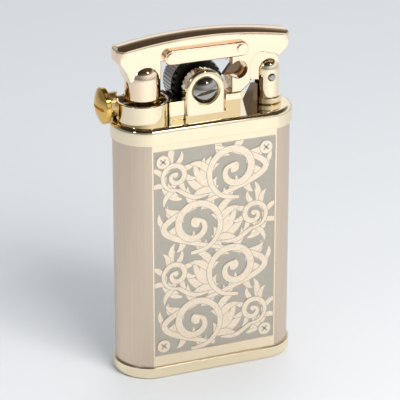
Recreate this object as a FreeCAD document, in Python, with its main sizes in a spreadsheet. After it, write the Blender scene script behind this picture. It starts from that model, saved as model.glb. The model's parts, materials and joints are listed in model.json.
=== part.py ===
"""Semi-automatic petrol lighter with a rocker arm, as a parametric FreeCAD document.

Millimetres. The origin is the centre of the base's underside, +Z is up, +X is to the right
and the engraved front faces -Y.
"""
import FreeCAD, Part
import math
import os
import re
import Sketcher

Vector = FreeCAD.Vector
doc = FreeCAD.newDocument("rocker_lighter")
sheet = doc.addObject("Spreadsheet::Sheet", "sizes")

SIZES = {
    # cutters and fits
    "reach": 9.0,
    "spare": 1.0,
    "fit_gap": 0.03,
    "spigot_wall": 0.8,
    "cap_step": 0.6,
    "gasket_inset": 0.1,
    "filler_slot_depth": 0.5,
    # case, collar and bottom cap
    "body_width": 33.5,
    "body_depth": 12.5,
    "flat_half": 12.0,
    "wall": 0.6,
    "trim_proud": 0.4,
    "cap_top": 2.35,
    "cap_floor": 1.2,
    "cap_edge": 0.8,
    "shell_top": 45.7,
    "deck_top": 48.8,
    "deck_under": 47.4,
    "deck_edge": 0.9,
    "lip_edge": 0.15,
    "spigot_bottom": 44.6,
    "panel_half": 11.75,
    "panel_bottom": 4.55,
    "panel_top": 44.45,
    "panel_depth": 0.06,
    # fuel tank and filler
    "tank_gap": 0.15,
    "tank_wall": 0.4,
    "tank_bottom": 2.75,
    "tank_top": 43.6,
    "lid_top": 44.3,
    "felt_top": 4.7,
    "cotton_gap": 0.1,
    "filler_x": 7.0,
    "neck_radius": 3.3,
    "neck_bore": 2.4,
    "neck_bottom": 1.55,
    "neck_top": 4.6,
    "filler_head_radius": 3.0,
    "filler_head_bottom": 0.3,
    "filler_head_top": 1.25,
    "filler_shank_radius": 2.36,
    "filler_shank_top": 4.3,
    "slot_width": 0.6,
    "slot_rise": 0.35,
    "screw_rim_edge": 0.15,
    # wick, cup and snuffer
    "cup_x": -11.3,
    "cup_radius": 4.75,
    "cup_bore": 4.25,
    "cup_top": 52.4,
    "cup_floor": 0.5,
    "cup_rim_edge": 0.15,
    "wick_y": -0.5,
    "wick_radius": 1.15,
    "wick_bottom": 20.0,
    "wick_top": 54.6,
    "wick_tube_radius": 1.65,
    "wick_tube_bore": 1.2,
    "wick_tube_bottom": 43.0,
    "wick_tube_top": 53.8,
    "snuffer_radius": 3.2,
    "snuffer_bore": 2.7,
    "snuffer_bottom": 52.8,
    "snuffer_shoulder": 56.45,
    "snuffer_rim_edge": 0.12,
    # striking wheel and its bracket
    "axle_x": -0.9,
    "axle_z": 53.9,
    "axle_radius": 1.0,
    "running_gap": 0.05,
    "wheel_radius": 4.9,
    "wheel_front": 0.5,
    "wheel_back": 4.3,
    "knurl_depth": 0.16,
    "ratchet_radius": 4.7,
    "ratchet_root": 4.35,
    "ratchet_front": -0.6,
    "spacer_radius": 1.8,
    "spacer_front": -1.85,
    "spacer_back": -0.65,
    "ear_radius": 3.8,
    "ear_front": -4.2,
    "ear_back": -1.9,
    "ear_edge": 0.7,
    "rear_ear_front": 4.5,
    "rear_ear_back": 5.6,
    "bracket_base_top": 49.6,
    "block_left": -7.6,
    "block_front": -3.6,
    "block_top": 52.4,
    "block_edge": 0.2,
    "cup_gap": 0.15,
    "axle_recess_radius": 2.75,
    "axle_recess_depth": 0.6,
    "axle_head_radius": 2.45,
    "axle_head_rim": 0.5,
    "axle_head_dome": 1.15,
    "axle_slot_turn": 12.0,
    "nut_across": 1.8,
    "nut_thickness": 0.9,
    "screw_radius": 0.6,
    "screw_head_radius": 1.1,
    "screw_head": 0.7,
    "screw_top": 49.3,
    "screw_pitch": 5.8,
    "screw_y": 1.2,
    "wheel_gap": 0.15,
    # flint feed, along X
    "flint_y": 2.7,
    "flint_z": 51.1,
    "flint_radius": 1.15,
    "flint_tube_radius": 1.45,
    "flint_bore": 1.2,
    "flint_tube_left": -15.2,
    "flint_tube_right": -6.3,
    "flint_left": -9.6,
    "flint_gap": 0.06,
    "plunger_left": -10.6,
    "plunger_stem": 0.45,
    "spring_radius": 0.8,
    "spring_wire": 0.17,
    "spring_turns": 6.0,
    "barrel_radius": 2.3,
    "barrel_left": -16.9,
    "barrel_right": -15.0,
    "knob_radius": 3.3,
    "knob_face": -17.25,
    "knob_rim": 0.9,
    "knob_dome": 0.95,
    "knob_shank_right": -15.4,
    # rocker arm
    "pivot_x": 12.7,
    "pivot_z": 53.9,
    "pin_radius": 0.75,
    "pin_half": 2.5,
    "pin_edge": 0.4,
    "web_half": 2.1,
    "web_edge": 0.25,
    "flange_half": 2.5,
    "flange_left": -16.6,
    "flange_right": 16.4,
    "flange_arc_x": -1.0,
    "flange_arc_z": -17.9,
    "flange_arc_radius": 82.0,
    "flange_thickness": 1.65,
    "flange_edge": 0.9,
    "crown_radius": 6.0,
    "crown_half": 3.5,
    "crown_low": 60.0,
    "end_round": 1.6,
    "end_clear": 0.7,
    "arm_plan_spare": 6.0,
    "window_left": -8.5,
    "window_right": 5.0,
    "window_top": 59.6,
    "leg_bottom": 56.3,
    "leg_left": -14.4,
    "leg_shoulder": 60.2,
    "leg_curve": 8.6,
    "leg_inset": 0.1,
    "column_bottom": 51.9,
    "column_foot_right": 6.8,
    "column_foot_top": 53.4,
    "relief_left": 8.6,
    "relief_radius": 2.3,
    "relief_spring": 56.6,
    "tail_step_x": 13.3,
    "tail_step_z": 58.2,
    "tail_heel_x": 14.0,
    "tail_heel_z": 57.7,
    "tail_x": 15.4,
    "tail_z": 58.8,
    "tail_inset": 0.15,
    "tongue_half": 0.9,
    "heel_radius": 2.0,
    "heel_curve": 2.04,
    "tongue_left": 8.2,
    "tongue_bottom": 53.5,
    "tongue_right": 14.3,
    "tongue_top": 59.0,
    "pawl_slot_half": 0.7,
    "pawl_slot_right": 8.3,
    "pawl_slot_bottom": 54.4,
    "pawl_slot_top": 61.55,
    "leaf_room": 1.2,
    "notch_x": 6.3,
    "notch_z": 56.2,
    "notch_radius": 1.7,
    # cover bar, rivets, pawl
    "rivet_left": -6.9,
    "rivet_right": 6.45,
    "rivet_z": 60.35,
    "rivet_radius": 0.55,
    "rivet_head": 0.9,
    "rivet_dome": 0.35,
    "bar_radius": 1.35,
    "bar_thickness": 1.0,
    "bar_edge": 0.3,
    "pawl_half": 0.45,
    "pawl_hub": 1.1,
    "pawl_lobe": 1.25,
    "pawl_lobe_start": 0.4,
    "pawl_lobe_curve": 1.325,
    "pawl_neck_left": 0.8,
    "pawl_neck_right": 0.55,
    "pawl_neck_low": 2.2,
    "pawl_neck_high": 2.6,
    "pawl_tip_width": 0.6,
    "pawl_tip_drop": 0.1,
    "pawl_tip_x": 3.95,
    "pawl_tip_z": 55.0,
    "spring_leaf": 0.16,
    "spring_leaf_half": 0.4,
    "spring_leaf_z": 61.0,
    "leaf_eye_wall": 0.35,
    "leaf_tip_gap": 0.15,
    # post, ring, block, leaf
    "post_radius": 2.2,
    "post_shoulder": 55.1,
    "post_slot_half": 1.0,
    "post_slot_bottom": 51.3,
    "post_tail_radius": 1.2,
    "post_tail_bottom": 45.9,
    "post_nut_radius": 2.3,
    "post_nut_height": 1.0,
    "ring_radius": 2.65,
    "ring_height": 1.3,
    "ring_edge": 0.3,
    "rest_left": 4.0,
    "rest_right": 6.9,
    "rest_half": 1.6,
    "rest_top": 51.7,
    "rest_edge": 0.15,
    "leaf_left": 8.9,
    "leaf_thickness": 0.8,
    "leaf_front": -2.6,
    "leaf_foot_back": 2.2,
    "leaf_tip_back": -1.4,
    "leaf_top": 53.2,
}

for row, (alias, size) in enumerate(SIZES.items(), start=1):
    sheet.set(f"A{row}", alias)
    sheet.set(f"B{row}", str(size))
    sheet.setAlias(f"B{row}", alias)
doc.recompute()

RATCHET_TEETH = 24
SAW_TIP_SHARE = 0.25
SAW_ROOT_SHARE = 0.97
KNURLS = 48
KNURL_TOP_SHARE = 0.55
KNURL_ROOT_SHARE = 0.775
nodes = []


# ---------------------------------------------------------------- helpers

def linked(expression):
    """The expression with every size's alias pointed at the spreadsheet."""
    def pointed(word):
        return "sizes." + word[0] if word[0] in SIZES else word[0]

    return re.sub(r"[a-z][a-z_]*", pointed, str(expression))


def size_of(expression):
    return float(sheet.evalExpression(str(expression)))


def bind(thing, **expressions):
    for name, expression in expressions.items():
        thing.setExpression(name, linked(expression))
    return thing


def place(thing, x="0", y="0", z="0"):
    for axis, expression in zip("xyz", (x, y, z)):
        thing.setExpression("Placement.Base." + axis, linked(expression))
    return thing


def box(name, x, y, z):
    """Box between two expressions on each axis."""
    block = doc.addObject("Part::Box", name)
    bind(block, Length=f"({x[1]}) - ({x[0]})", Width=f"({y[1]}) - ({y[0]})",
         Height=f"({z[1]}) - ({z[0]})")
    return place(block, x[0], y[0], z[0])


TURNS = {
    "X": FreeCAD.Rotation(Vector(0, 1, 0), 90),
    "Y": FreeCAD.Rotation(Vector(1, 0, 0), -90),
    "Z": FreeCAD.Rotation(),
}


def rod(name, axis, radius, low, high, across):
    """Cylinder along an axis from low to high; across gives its other two coordinates in order."""
    cylinder = doc.addObject("Part::Cylinder", name)
    bind(cylinder, Radius=radius, Height=f"({high}) - ({low})")
    cylinder.Placement = FreeCAD.Placement(Vector(), TURNS[axis])
    spot = list(across)
    spot.insert("XYZ".index(axis), low)
    return place(cylinder, *spot)


def ball(name, radius, x, y, z):
    sphere = doc.addObject("Part::Sphere", name)
    bind(sphere, Radius=radius)
    return place(sphere, x, y, z)


def cut(name, base, *tools):
    for number, tool in enumerate(tools):
        step = doc.addObject("Part::Cut", f"{name}_{number}")
        step.Base = base
        step.Tool = tool
        base = step
    return base


def fuse(name, *shapes):
    joined = doc.addObject("Part::MultiFuse", name)
    joined.Shapes = list(shapes)
    return joined


def common(name, first, second):
    shared = doc.addObject("Part::Common", name)
    shared.Base = first
    shared.Tool = second
    return shared


def tube(name, axis, radius, bore, low, high, across):
    outside = rod(name + "_outside", axis, radius, low, high, across)
    inside = rod(name + "_inside", axis, bore, low, high, across)
    return cut(name, outside, inside)


def new_body(name):
    return doc.addObject("PartDesign::Body", name)


def new_sketch(body, name, plane, offset="0"):
    sketch = body.newObject("Sketcher::SketchObject", name)
    origin_plane = next(item for item in body.Origin.OriginFeatures if item.Role == plane)
    sketch.AttachmentSupport = [(origin_plane, "")]
    sketch.MapMode = "FlatFace"
    sketch.setExpression("AttachmentOffset.Base.z", linked(offset))
    return sketch


def fix_point(sketch, curve, end, x, y):
    """Hold one point of a sketch curve at two bound distances from the sketch's origin."""
    for kind, expression in (("DistanceX", x), ("DistanceY", y)):
        index = sketch.addConstraint(Sketcher.Constraint(kind, -1, 1, curve, end, size_of(expression)))
        label = f"{kind}_{curve}_{end}"
        sketch.renameConstraint(index, label)
        sketch.setExpression("Constraints." + label, linked(expression))


def fix_radius(sketch, curve, radius):
    index = sketch.addConstraint(Sketcher.Constraint("Radius", curve, size_of(radius)))
    sketch.renameConstraint(index, f"radius_{curve}")
    sketch.setExpression(f"Constraints.radius_{curve}", linked(radius))


def draw_outline(sketch, corners):
    """Closed outline. A corner is (x, y), or (x, y, radius, side) where an arc leads to the next
    corner, its centre to the left (+1) or the right (-1) of the way round."""
    ends = []
    for number, corner in enumerate(corners):
        following = corners[(number + 1) % len(corners)]
        start = Vector(size_of(corner[0]), size_of(corner[1]), 0)
        finish = Vector(size_of(following[0]), size_of(following[1]), 0)
        if len(corner) == 2:
            curve = sketch.addGeometry(Part.LineSegment(start, finish))
            ends.append((curve, 1, 2))
            continue
        radius = size_of(corner[2])
        side = corner[3]
        chord = finish - start
        rise = math.sqrt(max(radius ** 2 - (chord.Length / 2) ** 2, 0))
        centre = (start + finish) / 2 + Vector(-chord.y, chord.x, 0).normalize() * rise * side
        angles = [math.atan2(point.y - centre.y, point.x - centre.x) for point in (start, finish)]
        if side < 0:
            angles.reverse()
        circle = Part.Circle(centre, Vector(0, 0, 1), radius)
        curve = sketch.addGeometry(Part.ArcOfCircle(circle, angles[0], angles[1]))
        ends.append((curve, 1, 2) if side > 0 else (curve, 2, 1))
    for number, (curve, first, last) in enumerate(ends):
        next_curve, next_first, _ = ends[(number + 1) % len(ends)]
        sketch.addConstraint(Sketcher.Constraint("Coincident", curve, last, next_curve, next_first))
        fix_point(sketch, curve, first, corners[number][0], corners[number][1])
        if len(corners[number]) > 2:
            fix_radius(sketch, curve, corners[number][2])


def pad(body, name, sketch, length, symmetric=False):
    feature = body.newObject("PartDesign::Pad", name)
    feature.Profile = sketch
    feature.SideType = "Symmetric" if symmetric else "One side"
    return bind(feature, Length=length)


def pocket(body, name, sketch, length, symmetric=False, reversed_side=False):
    feature = body.newObject("PartDesign::Pocket", name)
    feature.Profile = sketch
    feature.SideType = "Symmetric" if symmetric else "One side"
    feature.Reversed = reversed_side
    return bind(feature, Length=length)


def revolve(body, name, sketch, axis):
    feature = body.newObject("PartDesign::Revolution", name)
    feature.Profile = sketch
    feature.ReferenceAxis = (sketch, [axis])
    return feature


def round_edges(body, name, base, radius, wanted):
    """Fillet those edges of the base feature that the test picks."""
    doc.recompute()
    edges = [f"Edge{n}" for n, edge in enumerate(base.Shape.Edges, start=1) if wanted(edge)]
    feature = body.newObject("PartDesign::Fillet", name)
    feature.Base = (base, edges)
    return bind(feature, Radius=radius)


def soften(name, base, radius, wanted):
    """Rounded copy of a finished shape: the edges that the test picks get the radius."""
    doc.recompute()
    size = size_of(radius)
    feature = doc.addObject("Part::Fillet", name)
    feature.Base = base
    feature.Edges = [(n, size, size) for n, edge in enumerate(base.Shape.Edges, start=1) if wanted(edge)]
    return feature


def at_height(level):
    return lambda edge: all(abs(vertex.Z - size_of(level)) < 1e-6 for vertex in edge.Vertexes)


def at_depth(level):
    return lambda edge: all(abs(vertex.Y - size_of(level)) < 1e-6 for vertex in edge.Vertexes)


def is_ring(radius):
    return lambda edge: edge.Closed and abs(edge.Length - 2 * math.pi * size_of(radius)) < 1e-4


def node(thing, name):
    thing.Label = name
    nodes.append(thing)
    return thing


# ---------------------------------------------------------------- case section

def draw_section(sketch, inset):
    """The case's plan: two flats joined by shallow round ends that meet them in a crease."""
    half_width = f"(body_width / 2 - ({inset}))"
    half_depth = f"(body_depth / 2 - ({inset}))"
    bulge = f"({half_width} - flat_half)"
    end_radius = f"({half_depth} * {half_depth} + {bulge} * {bulge}) / (2 * {bulge})"
    draw_outline(sketch, [
        ("-flat_half", "-" + half_depth),
        ("flat_half", "-" + half_depth, end_radius, 1),
        ("flat_half", half_depth),
        ("-flat_half", half_depth, end_radius, 1),
    ])


def section_prism(body, name, inset, low, high):
    sketch = new_sketch(body, name + "_plan", "XY_Plane", low)
    draw_section(sketch, inset)
    return pad(body, name, sketch, f"({high}) - ({low})")


def section_pocket(body, name, inset, low, high):
    """Hollow with the case's plan from low up to high."""
    sketch = new_sketch(body, name + "_plan", "XY_Plane", low)
    draw_section(sketch, inset)
    return pocket(body, name, sketch, f"({high}) - ({low})", reversed_side=True)


def make_case_shell():
    body = new_body("shell_body")
    section_prism(body, "shell_block", "0", "cap_top", "shell_top")
    section_pocket(body, "shell_hollow", "wall", "cap_top", "shell_top")
    field = new_sketch(body, "panel_outline", "XZ_Plane", "body_depth / 2 - panel_depth")
    draw_outline(field, [
        ("-panel_half", "panel_bottom"),
        ("panel_half", "panel_bottom"),
        ("panel_half", "panel_top"),
        ("-panel_half", "panel_top"),
    ])
    pocket(body, "panel_field", field, "panel_depth * 2", reversed_side=True)
    node(body, "case_shell")


def make_top_collar():
    body = new_body("collar_body")
    block = section_prism(body, "collar_block", "-trim_proud", "shell_top", "deck_top")
    rounded = round_edges(body, "collar_edge", block, "deck_edge", at_height("deck_top"))
    round_edges(body, "collar_lip", rounded, "lip_edge", at_height("shell_top"))
    section_prism(body, "collar_spigot", "wall + fit_gap", "spigot_bottom", "shell_top")
    section_pocket(body, "collar_hollow", "wall + spigot_wall", "spigot_bottom", "deck_under")
    wick_hole = rod("collar_wick_hole", "Z", "wick_tube_radius", "deck_under - spare",
                    "deck_top + spare", ("cup_x", "wick_y"))
    post_hole = rod("collar_post_hole", "Z", "post_tail_radius", "deck_under - spare",
                    "deck_top + spare", ("pivot_x", "0"))
    screw_holes = bracket_screw_rods("collar_screw_hole", "screw_radius", "deck_under - spare",
                                     "deck_top + spare")
    node(cut("collar", body, wick_hole, post_hole, *screw_holes), "top_collar")


def make_bottom_cap():
    body = new_body("cap_body")
    block = section_prism(body, "cap_block", "-trim_proud", "0", "cap_top")
    rounded = round_edges(body, "cap_round", block, "cap_edge", at_height("0"))
    round_edges(body, "cap_lip", rounded, "lip_edge", at_height("cap_top"))
    section_pocket(body, "cap_hollow", "wall + cap_step", "cap_floor", "cap_top")
    filler_hole = rod("cap_filler_hole", "Z", "neck_radius", "-spare", "cap_top + spare",
                      ("filler_x", "0"))
    node(cut("cap", body, filler_hole), "bottom_cap")


# ---------------------------------------------------------------- tank and filler

def make_tank():
    can = new_body("can_body")
    section_prism(can, "can_block", "wall + tank_gap", "tank_bottom", "tank_top")
    section_pocket(can, "can_hollow", "wall + tank_gap + tank_wall", "tank_bottom + tank_wall",
                   "tank_top")
    neck_hole = rod("can_neck_hole", "Z", "neck_radius", "tank_bottom - spare", "felt_top",
                    ("filler_x", "0"))
    node(cut("can", can, neck_hole), "tank_can")

    lid = new_body("lid_body")
    section_prism(lid, "lid_plate", "wall + tank_gap", "tank_top", "lid_top")
    lid_hole = rod("lid_hole", "Z", "wick_tube_radius", "tank_top - spare", "lid_top + spare",
                   ("cup_x", "wick_y"))
    node(cut("lid", lid, lid_hole), "tank_lid")

    inside = "wall + tank_gap + tank_wall + cotton_gap"
    felt = new_body("felt_body")
    section_prism(felt, "felt_block", inside, "tank_bottom + tank_wall", "felt_top")
    felt_hole = rod("felt_hole", "Z", "neck_radius + cotton_gap", "tank_bottom", "felt_top + spare",
                    ("filler_x", "0"))
    node(cut("felt", felt, felt_hole), "felt_pad")

    cotton = new_body("cotton_body")
    section_prism(cotton, "cotton_block", inside, "felt_top", "wick_tube_bottom - cotton_gap")
    wick_hole = rod("cotton_hole", "Z", "wick_radius", "wick_bottom", "tank_top", ("cup_x", "wick_y"))
    node(cut("cotton", cotton, wick_hole), "cotton_wadding")


def make_filler():
    across = ("filler_x", "0")
    node(tube("neck", "Z", "neck_radius", "neck_bore", "neck_bottom", "neck_top", across), "filler_neck")
    gasket = tube("gasket", "Z", "filler_head_radius - gasket_inset", "filler_shank_radius",
                  "filler_head_top", "neck_bottom - fit_gap", across)
    node(gasket, "filler_gasket")
    head = rod("filler_head", "Z", "filler_head_radius", "filler_head_bottom", "filler_head_top", across)
    shank = rod("filler_shank", "Z", "filler_shank_radius", "filler_head_bottom", "filler_shank_top",
                across)
    slot = box("filler_slot", ("filler_x - reach", "filler_x + reach"),
               ("-slot_width / 2", "slot_width / 2"),
               ("0", "filler_head_bottom + filler_slot_depth"))
    node(cut("filler", fuse("filler_solid", head, shank), slot), "filler_screw")


# ---------------------------------------------------------------- wick, cup and snuffer

def make_wick():
    across = ("cup_x", "wick_y")
    node(rod("wick_rod", "Z", "wick_radius", "wick_bottom", "wick_top", across), "wick")
    node(tube("sleeve", "Z", "wick_tube_radius", "wick_tube_bore", "wick_tube_bottom", "wick_tube_top",
              across),
         "wick_tube")


def make_chimney_cup():
    across = ("cup_x", "0")
    wall = rod("cup_wall", "Z", "cup_radius", "deck_top", "cup_top", across)
    hollow = rod("cup_hollow", "Z", "cup_bore", "deck_top + cup_floor", "cup_top + spare", across)
    wick_hole = rod("cup_wick_hole", "Z", "wick_tube_radius", "deck_top - spare", "cup_top",
                    ("cup_x", "wick_y"))
    feed_hole = rod("cup_feed_hole", "X", "flint_tube_radius", "cup_x - reach", "cup_x + reach",
                    ("flint_y", "flint_z"))
    rounded = soften("cup_rim", cut("cup_wall_hollow", wall, hollow), "cup_rim_edge",
                     at_height("cup_top"))
    node(cut("cup", rounded, wick_hole, feed_hole), "chimney_cup")


def bell(name, radius):
    """Upright cylinder with a round top, as the snuffer's outside or inside."""
    skirt = rod(name + "_skirt", "Z", radius, "snuffer_bottom", "snuffer_shoulder", ("cup_x", "0"))
    crown = ball(name + "_crown", radius, "cup_x", "0", "snuffer_shoulder")
    floor = box(name + "_floor", ("cup_x - reach", "cup_x + reach"), ("-reach", "reach"),
                ("snuffer_bottom - reach", "snuffer_bottom"))
    return cut(name, fuse(name + "_solid", skirt, crown), floor)


def make_snuffer():
    outside = bell("bell_outside", "snuffer_radius")
    hollow = cut("snuffer", outside, bell("bell_inside", "snuffer_bore"))
    node(soften("snuffer_rim", hollow, "snuffer_rim_edge", at_height("snuffer_bottom")), "snuffer_cap")
    return outside


# ---------------------------------------------------------------- wheel, axle and bracket

def bracket_screw_rods(name, radius, low, high):
    """Two upright rods through the deck, one on each side of the axle."""
    return [rod(f"{name}_{side}", "Z", radius, low, high,
                (f"axle_x + {side} * screw_pitch / 2", "screw_y"))
            for side in (-1, 1)]


def make_bracket():
    ears = new_body("ears_body")
    arch = [
        ("axle_x - ear_radius", "deck_top"),
        ("axle_x + ear_radius", "deck_top"),
        ("axle_x + ear_radius", "axle_z", "ear_radius", 1),
        ("axle_x", "axle_z + ear_radius", "ear_radius", 1),
        ("axle_x - ear_radius", "axle_z"),
    ]
    for name, front, back in (("front_ear", "ear_front", "ear_back"),
                              ("rear_ear", "rear_ear_front", "rear_ear_back")):
        sketch = new_sketch(ears, name + "_arch", "XZ_Plane", f"-({back})")
        draw_outline(sketch, arch)
        ear = pad(ears, name, sketch, f"({back}) - ({front})")
        face = size_of(front if name == "front_ear" else back)
        round_edges(ears, name + "_edge", ear, "ear_edge",
                    lambda edge: all(abs(vertex.Y - face) < 1e-6 for vertex in edge.Vertexes)
                    and edge.CenterOfMass.z > size_of("bracket_base_top"))
        if name == "front_ear":
            plate = new_sketch(ears, "base_plan", "XY_Plane", "deck_top")
            draw_outline(plate, [
                ("axle_x - ear_radius", "ear_front"),
                ("axle_x + ear_radius", "ear_front"),
                ("axle_x + ear_radius", "rear_ear_back"),
                ("axle_x - ear_radius", "rear_ear_back"),
            ])
            pad(ears, "base_plate", plate, "bracket_base_top - deck_top")
    block = box("bracket_block", ("block_left", "axle_x - ear_radius"), ("block_front", "ear_back"),
                ("deck_top", "block_top"))
    cup_room = rod("bracket_cup_room", "Z", "cup_radius + cup_gap", "deck_top - spare",
                   "cup_top + spare", ("cup_x", "0"))
    bore = rod("bracket_bore", "Y", "axle_radius", "ear_front - spare", "rear_ear_back + spare",
               ("axle_x", "axle_z"))
    recess = rod("bracket_recess", "Y", "axle_recess_radius", "ear_front - spare",
                 "ear_front + axle_recess_depth",
                 ("axle_x", "axle_z"))
    holes = bracket_screw_rods("bracket_hole", "screw_radius", "deck_top - spare",
                               "bracket_base_top + fit_gap")
    wheel_room = rod("bracket_wheel_room", "Y", "wheel_radius + wheel_gap", "ratchet_front - wheel_gap",
                     "wheel_back + wheel_gap", ("axle_x", "axle_z"))
    trimmed = cut("block", block, cup_room)
    softened = soften("block_soft", trimmed, "block_edge",
                      lambda edge: at_height("block_top")(edge) or at_depth("block_front")(edge))
    solid = fuse("bracket_solid", ears, softened)
    node(cut("bracket", solid, wheel_room, bore, recess, *holes), "wheel_bracket")


def make_bracket_screws():
    shanks = bracket_screw_rods("screw_shank", "screw_radius", "deck_under", "screw_top")
    heads = bracket_screw_rods("screw_cap", "screw_head_radius", "deck_under - screw_head", "deck_under")
    pairs = [fuse(f"screw_{number}", *pair) for number, pair in enumerate(zip(shanks, heads))]
    group = doc.addObject("Part::Compound", "screw_pair")
    group.Links = pairs
    node(group, "bracket_screws")


def dome_screw(name, radius, rim, dome, shank_radius, shank_length):
    """Body of a slotted dome-head screw lying along its own Z: head above, shank below zero."""
    body = new_body(name + "_body")
    sketch = new_sketch(body, name + "_half", "XZ_Plane")
    crown_radius = f"(({radius}) * ({radius}) + ({dome}) * ({dome})) / (2 * ({dome}))"
    draw_outline(sketch, [
        ("0", f"-({shank_length})"),
        (shank_radius, f"-({shank_length})"),
        (shank_radius, "0"),
        (radius, "0"),
        (radius, rim, crown_radius, 1),
        ("0", f"{rim} + {dome}"),
    ])
    turned = revolve(body, name + "_turned", sketch, "V_Axis")
    round_edges(body, name + "_rim", turned, "screw_rim_edge", is_ring(radius))
    return body


def make_axle():
    head_back = "ear_front + axle_recess_depth"
    body = dome_screw("axle", "axle_head_radius", "axle_head_rim", "axle_head_dome",
                      "axle_radius - fit_gap",
                      f"rear_ear_back + nut_thickness - ({head_back})")
    slot = new_sketch(body, "axle_slot_plan", "YZ_Plane")
    draw_outline(slot, [
        ("-slot_width / 2", "axle_head_rim + slot_rise"),
        ("slot_width / 2", "axle_head_rim + slot_rise"),
        ("slot_width / 2", "axle_head_rim + axle_head_dome + spare"),
        ("-slot_width / 2", "axle_head_rim + axle_head_dome + spare"),
    ])
    pocket(body, "axle_slot", slot, "axle_head_radius * 3", symmetric=True)
    facing_front = FreeCAD.Rotation(Vector(1, 0, 0), 90)
    slot_turn = FreeCAD.Rotation(Vector(0, 0, 1), size_of("axle_slot_turn"))
    body.Placement = FreeCAD.Placement(Vector(), facing_front * slot_turn)
    place(body, "axle_x", head_back, "axle_z")
    node(body, "axle_screw")

    nut = doc.addObject("Part::Prism", "axle_nut_hexagon")
    nut.Polygon = 6
    bind(nut, Circumradius="nut_across", Height="nut_thickness")
    nut.Placement = FreeCAD.Placement(Vector(), TURNS["Y"])
    place(nut, "axle_x", "rear_ear_back", "axle_z")
    bore = rod("axle_nut_bore", "Y", "axle_radius", "rear_ear_back - spare", "rear_ear_back + 2",
               ("axle_x", "axle_z"))
    node(cut("axle_nut_cut", nut, bore), "axle_nut")

    node(tube("spacer", "Y", "spacer_radius", "axle_radius + running_gap", "spacer_front", "spacer_back",
              ("axle_x", "axle_z")), "wheel_spacer")


def toothed_disc(name, outline, front, back):
    """Disc with a toothed outline given in polar form, bored for the axle."""
    points = [Vector(radius * math.cos(angle), 0, radius * math.sin(angle)) for radius, angle in outline]
    face = Part.Face(Part.makePolygon(points + points[:1]))
    disc = face.extrude(Vector(0, size_of(f"({back}) - ({front})"), 0))
    bore = Part.makeCylinder(size_of("axle_radius + running_gap"), 20, Vector(0, -10, 0), Vector(0, 1, 0))
    feature = doc.addObject("Part::Feature", name)
    feature.Shape = disc.cut(bore)
    return place(feature, "axle_x", front, "axle_z")


def make_wheels():
    rim = size_of("wheel_radius")
    groove = size_of("wheel_radius - knurl_depth")
    step = 2 * math.pi / KNURLS
    knurl = [pair for n in range(KNURLS)
             for pair in ((rim, n * step), (rim, (n + KNURL_TOP_SHARE) * step),
                          (groove, (n + KNURL_ROOT_SHARE) * step))]
    node(toothed_disc("knurled_disc", knurl, "wheel_front", "wheel_back"), "flint_wheel")

    tip = size_of("ratchet_radius")
    root = size_of("ratchet_root")
    step = 2 * math.pi / RATCHET_TEETH
    saw = [pair for n in range(RATCHET_TEETH)
           for pair in ((tip, n * step), (tip, (n + SAW_TIP_SHARE) * step),
                        (root, (n + SAW_ROOT_SHARE) * step))]
    node(toothed_disc("saw_disc", saw, "ratchet_front", "wheel_front"), "ratchet_wheel")


# ---------------------------------------------------------------- flint feed

def make_flint_feed():
    across = ("flint_y", "flint_z")
    bore = rod("barrel_bore", "X", "flint_bore", "barrel_left - spare", "flint_tube_right + spare",
               across)
    barrel = rod("barrel_boss", "X", "barrel_radius", "barrel_left", "barrel_right", across)
    deck = box("barrel_deck", ("-30", "0"), ("-reach", "reach"), ("deck_top - 9", "deck_top"))
    cup_room = rod("barrel_cup_room", "Z", "cup_radius", "deck_top - spare", "cup_top + 9",
                   ("cup_x", "0"))
    sleeve = rod("barrel_sleeve", "X", "flint_tube_radius", "flint_tube_left", "flint_tube_right", across)
    boss = cut("barrel_trimmed", barrel, deck, cup_room)
    node(cut("feed_tube", fuse("barrel_solid", boss, sleeve), bore), "flint_tube")

    stone = rod("flint_rod", "X", "flint_radius", "flint_left", "axle_x", across)
    wheel_room = rod("flint_wheel_room", "Y", "wheel_radius + flint_gap", "-reach", "reach",
                     ("axle_x", "axle_z"))
    node(cut("flint_stone", stone, wheel_room), "flint")

    disc = rod("plunger_disc", "X", "flint_radius", "plunger_left", "flint_left", across)
    stem = rod("plunger_rod", "X", "plunger_stem", "plunger_left - 1.5", "flint_left", across)
    node(fuse("plunger_solid", disc, stem), "flint_plunger")

    body = dome_screw("knob", "knob_radius", "knob_rim", "knob_dome", "flint_radius",
                      "knob_shank_right - knob_face")
    slot = new_sketch(body, "knob_slot_plan", "YZ_Plane")
    draw_outline(slot, [
        ("-slot_width / 2", "knob_rim + slot_rise"),
        ("slot_width / 2", "knob_rim + slot_rise"),
        ("slot_width / 2", "knob_rim + knob_dome + spare"),
        ("-slot_width / 2", "knob_rim + knob_dome + spare"),
    ])
    pocket(body, "knob_slot", slot, "knob_radius * 3", symmetric=True)
    facing_left = FreeCAD.Rotation(Vector(0, 1, 0), -90)
    slot_level = FreeCAD.Rotation(Vector(0, 0, 1), 90)
    body.Placement = FreeCAD.Placement(Vector(), facing_left * slot_level)
    place(body, "knob_face", "flint_y", "flint_z")
    node(body, "flint_screw")


def make_flint_spring():
    """Open coil between the screw's shank and the plunger's disc."""
    length = size_of("plunger_left - knob_shank_right - 2 * spring_wire - 2 * fit_gap")
    radius = size_of("spring_radius")
    coil = Part.makeHelix(length / size_of("spring_turns"), length, radius)
    ring = Part.Wire(Part.makeCircle(size_of("spring_wire"), Vector(radius, 0, 0), Vector(0, 1, 0)))
    feature = doc.addObject("Part::Feature", "coil")
    feature.Shape = Part.Wire(coil.Edges).makePipeShell([ring], True, True)
    feature.Placement = FreeCAD.Placement(Vector(), TURNS["X"])
    place(feature, "knob_shank_right + spring_wire + fit_gap", "flint_y", "flint_z")
    node(feature, "flint_spring")


# ---------------------------------------------------------------- rocker arm

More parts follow.
